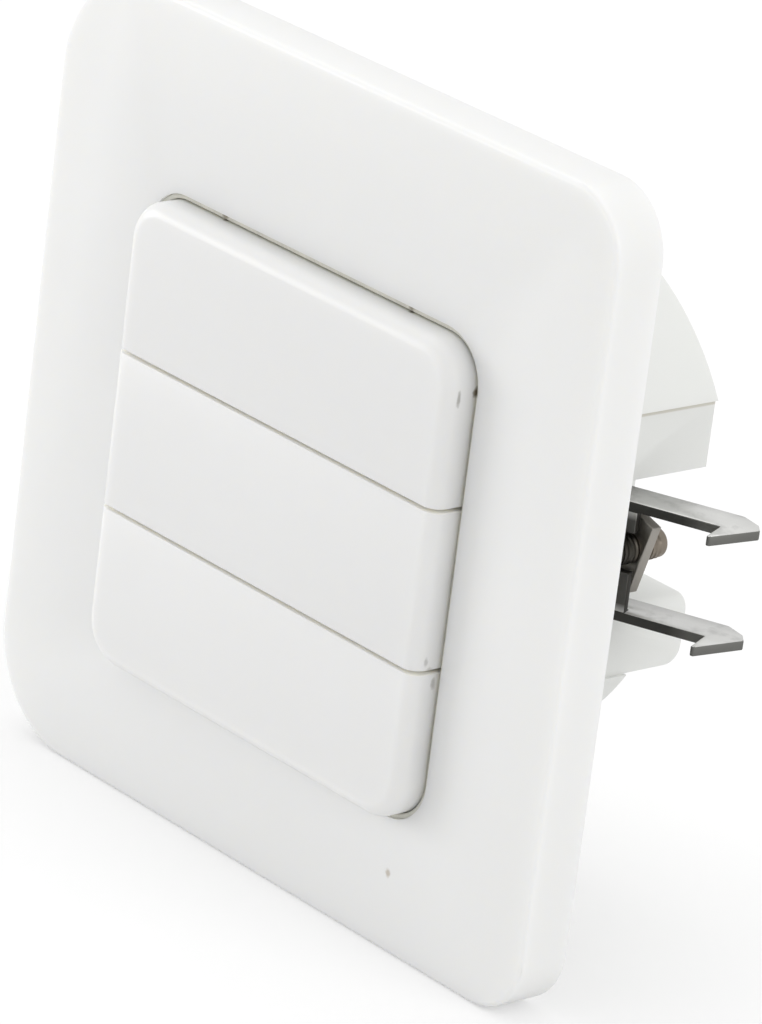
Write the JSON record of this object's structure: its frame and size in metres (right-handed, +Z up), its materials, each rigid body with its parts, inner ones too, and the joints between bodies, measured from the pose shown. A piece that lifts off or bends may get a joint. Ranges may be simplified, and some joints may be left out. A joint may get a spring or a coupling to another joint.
{
  "type": "wireless_wall_switch",
  "caption": "White flush wall switch that sends by radio: square cover frame, three rocking keys and a round box insert with two spreading claws.",
  "frame": {"origin": "middle of the two box screw slots, where the axis of the round insert meets the wall face", "axes": "+Z up, +Y into the wall, front towards -Y"},
  "size_m": [0.08, 0.0362, 0.08],
  "materials": {
    "shell_plastic": "smooth white",
    "insert_plastic": "satin white",
    "guide_plastic": "satin pale grey",
    "zinc_steel": "zinc plated sheet",
    "screw_metal": "yellow passivated",
    "sleeve_rubber": "soft, translucent",
    "board_laminate": "green lacquer",
    "part_resin": "moulded black",
    "contact_metal": "nickel plated",
    "cell_jacket": "shrink sleeve"
  },
  "bodies": {
    "insert": {"cover_frame": "shell_plastic", "key_carrier": "guide_plastic", "support_ring": "zinc_steel", "rear_housing": "insert_plastic", "carrier_screws": "contact_metal", "circuit_board": "board_laminate", "contact_domes": "contact_metal", "coding_chip": "part_resin", "resonator_can": "contact_metal", "capacitors": "part_resin", "wire_aerial": "screw_metal", "battery_cell": "cell_jacket", "contact_plus": "contact_metal", "contact_minus": "contact_metal", "return_sleeve_top_right": "sleeve_rubber", "return_sleeve_top_left": "sleeve_rubber", "return_sleeve_middle_right": "sleeve_rubber", "return_sleeve_middle_left": "sleeve_rubber", "return_sleeve_bottom_right": "sleeve_rubber", "return_sleeve_bottom_left": "sleeve_rubber"},
    "key_top": {"key_top": "shell_plastic"},
    "plunger_top_right": {"plunger_top_right": "guide_plastic"},
    "plunger_top_left": {"plunger_top_left": "guide_plastic"},
    "key_middle": {"key_middle": "shell_plastic"},
    "plunger_middle_right": {"plunger_middle_right": "guide_plastic"},
    "plunger_middle_left": {"plunger_middle_left": "guide_plastic"},
    "key_bottom": {"key_bottom": "shell_plastic"},
    "plunger_bottom_right": {"plunger_bottom_right": "guide_plastic"},
    "plunger_bottom_left": {"plunger_bottom_left": "guide_plastic"},
    "claw_right": {"claw_right": "zinc_steel"},
    "claw_nut_right": {"claw_nut_right": "zinc_steel"},
    "claw_screw_right": {"claw_screw_right": "screw_metal"},
    "claw_left": {"claw_left": "zinc_steel"},
    "claw_nut_left": {"claw_nut_left": "zinc_steel"},
    "claw_screw_left": {"claw_screw_left": "screw_metal"}
  },
  "joints": [
    {"name": "key_top_rock", "type": "hinge", "parent": "insert", "child": "key_top", "pos_m": [0, -0.0046, 0.01593], "axis": [0, 0, 1], "range_deg": [-2.5, 2.5], "stiffness_Nm_per_rad": 0.4},
    {"name": "plunger_top_right_slide", "type": "slide", "parent": "insert", "child": "plunger_top_right", "axis": [0, 1, 0], "range_m": [-0.00049, 0.00049], "deforming": ["return_sleeve_top_right"]},
    {"name": "plunger_top_left_slide", "type": "slide", "parent": "insert", "child": "plunger_top_left", "axis": [0, 1, 0], "range_m": [-0.00049, 0.00049], "deforming": ["return_sleeve_top_left"]},
    {"name": "key_middle_rock", "type": "hinge", "parent": "insert", "child": "key_middle", "pos_m": [0, -0.0046, 0], "axis": [0, 0, 1], "range_deg": [-2.5, 2.5], "stiffness_Nm_per_rad": 0.4},
    {"name": "plunger_middle_right_slide", "type": "slide", "parent": "insert", "child": "plunger_middle_right", "axis": [0, 1, 0], "range_m": [-0.00049, 0.00049], "deforming": ["return_sleeve_middle_right"]},
    {"name": "plunger_middle_left_slide", "type": "slide", "parent": "insert", "child": "plunger_middle_left", "axis": [0, 1, 0], "range_m": [-0.00049, 0.00049], "deforming": ["return_sleeve_middle_left"]},
    {"name": "key_bottom_rock", "type": "hinge", "parent": "insert", "child": "key_bottom", "pos_m": [0, -0.0046, -0.01593], "axis": [0, 0, 1], "range_deg": [-2.5, 2.5], "stiffness_Nm_per_rad": 0.4},
    {"name": "plunger_bottom_right_slide", "type": "slide", "parent": "insert", "child": "plunger_bottom_right", "axis": [0, 1, 0], "range_m": [-0.00049, 0.00049], "deforming": ["return_sleeve_bottom_right"]},
    {"name": "plunger_bottom_left_slide", "type": "slide", "parent": "insert", "child": "plunger_bottom_left", "axis": [0, 1, 0], "range_m": [-0.00049, 0.00049], "deforming": ["return_sleeve_bottom_left"]},
    {"name": "claw_screw_right_turn", "type": "hinge", "parent": "insert", "child": "claw_screw_right", "pos_m": [0.0238, 0, 0.0009], "axis": [0, -1, 0], "range_deg": [0, 1402.4]},
    {"name": "claw_nut_right_slide", "type": "slide", "parent": "insert", "child": "claw_nut_right", "axis": [0, 1, 0], "range_m": [0, 0.00195]},
    {"name": "claw_right_fold", "type": "hinge", "parent": "insert", "child": "claw_right", "pos_m": [0.0216, 0.0146, 0], "axis": [0, 0, 1], "range_deg": [0, 36.5]},
    {"name": "claw_screw_left_turn", "type": "hinge", "parent": "insert", "child": "claw_screw_left", "pos_m": [-0.0238, 0, 0.0009], "axis": [0, -1, 0], "range_deg": [0, 1402.4]},
    {"name": "claw_nut_left_slide", "type": "slide", "parent": "insert", "child": "claw_nut_left", "axis": [0, 1, 0], "range_m": [0, 0.00195]},
    {"name": "claw_left_fold", "type": "hinge", "parent": "insert", "child": "claw_left", "pos_m": [-0.0216, 0.0146, 0], "axis": [0, 0, -1], "range_deg": [0, 36.5]}
  ],
  "couplings": [
    {"joint": "plunger_top_right_slide", "follows": "key_top_rock", "m_per_rad": 0.011},
    {"joint": "plunger_top_left_slide", "follows": "key_top_rock", "m_per_rad": -0.011},
    {"joint": "plunger_middle_right_slide", "follows": "key_middle_rock", "m_per_rad": 0.011},
    {"joint": "plunger_middle_left_slide", "follows": "key_middle_rock", "m_per_rad": -0.011},
    {"joint": "plunger_bottom_right_slide", "follows": "key_bottom_rock", "m_per_rad": 0.011},
    {"joint": "plunger_bottom_left_slide", "follows": "key_bottom_rock", "m_per_rad": -0.011},
    {"joint": "claw_screw_right_turn", "follows": "claw_nut_right_slide", "rad_per_m": 12566},
    {"joint": "claw_right_fold", "follows": "claw_nut_right_slide", "rad_per_m": 322.58},
    {"joint": "claw_screw_left_turn", "follows": "claw_nut_left_slide", "rad_per_m": 12566},
    {"joint": "claw_left_fold", "follows": "claw_nut_left_slide", "rad_per_m": 322.58}
  ]
}
